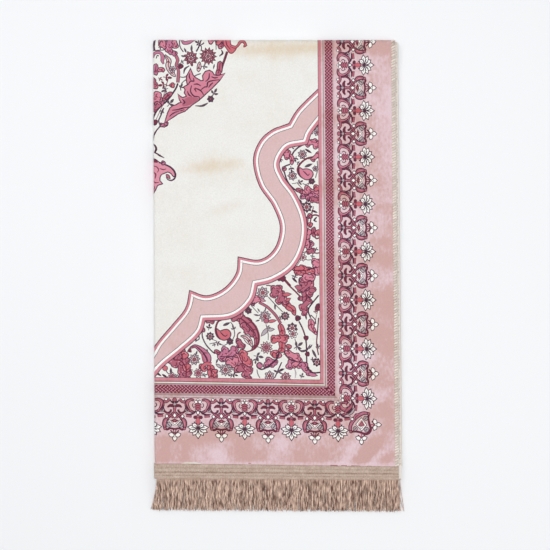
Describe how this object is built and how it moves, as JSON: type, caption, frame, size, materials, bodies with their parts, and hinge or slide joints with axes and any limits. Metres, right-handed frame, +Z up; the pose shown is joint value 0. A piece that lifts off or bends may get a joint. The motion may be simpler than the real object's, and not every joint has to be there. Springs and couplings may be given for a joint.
{
  "type": "prayer rug",
  "caption": "Prayer rug of printed velvet, folded flat in layers along its length and its middle, with a woven heading tape and yarn fringe at its short ends.",
  "frame": {"origin": "middle of the underside of the box round the folded rug", "axes": "+X across the rug from the lengthwise fold to the open edges, +Y from the fringe to the crosswise fold, +Z up from the surface it lies on"},
  "size_m": [0.348, 0.6604, 0.018],
  "materials": {
    "printed_velvet": "short soft pile, printed in cream, rose and dark plum, with a sheen that changes with the lie of the nap",
    "fringe_yarn": "beige ribbed woven heading tape and matt twisted yarn"
  },
  "bodies": {
    "root": {"velvet_rug": "printed_velvet", "fringe_upper_end": "fringe_yarn", "fringe_lower_end": "fringe_yarn"}
  },
  "joints": []
}
